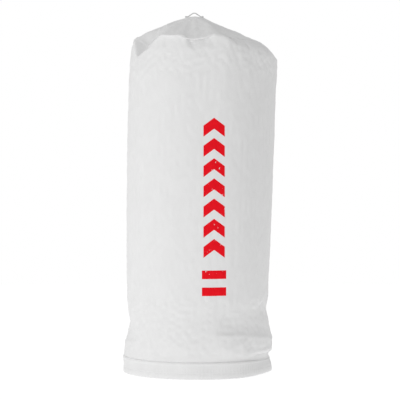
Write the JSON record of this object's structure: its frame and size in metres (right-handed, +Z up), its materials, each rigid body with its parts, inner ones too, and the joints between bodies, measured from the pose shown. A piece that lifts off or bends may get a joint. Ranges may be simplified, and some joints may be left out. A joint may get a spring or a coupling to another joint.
{
  "type": "dust collector filter bag",
  "caption": "Upright felt filter bag with a round tented top, a cord hanging loop and an elasticated cuff for a drum.",
  "frame": {"origin": "centre of the open mouth, level with the cuff's lower edge", "axes": "+Z up the bag from its mouth to the hanging loop; the printed front faces -Y"},
  "size_m": [0.5317, 0.5139, 1.2338],
  "materials": {
    "filter_felt": "matt needled polyester felt",
    "sewing_thread": "spun polyester thread",
    "elastic_webbing": "ribbed woven elastic",
    "loop_cord": "braided polyester cord",
    "print_ink": "screen-printed ink on felt"
  },
  "bodies": {
    "bag": {"wall_panel": "filter_felt", "top_panel": "filter_felt", "elastic_cuff": "filter_felt", "elastic_band": "elastic_webbing", "reinforcing_patch": "filter_felt", "loop_bar_tacks": "sewing_thread", "patch_stitches": "sewing_thread", "top_seam_stitches": "sewing_thread", "top_seam_overlock": "sewing_thread", "side_seam_stitches": "sewing_thread", "cuff_upper_stitches": "sewing_thread", "cuff_lower_stitches": "sewing_thread", "cuff_closing_stitches": "sewing_thread", "printed_mark": "print_ink"},
    "loop": {"hanging_loop": "loop_cord"}
  },
  "joints": [
    {"name": "loop_swing", "type": "hinge", "parent": "bag", "child": "loop", "pos_m": [-0.011, 0, 1.2191], "axis": [1, 0, 0], "range_deg": [-80, 80]}
  ]
}
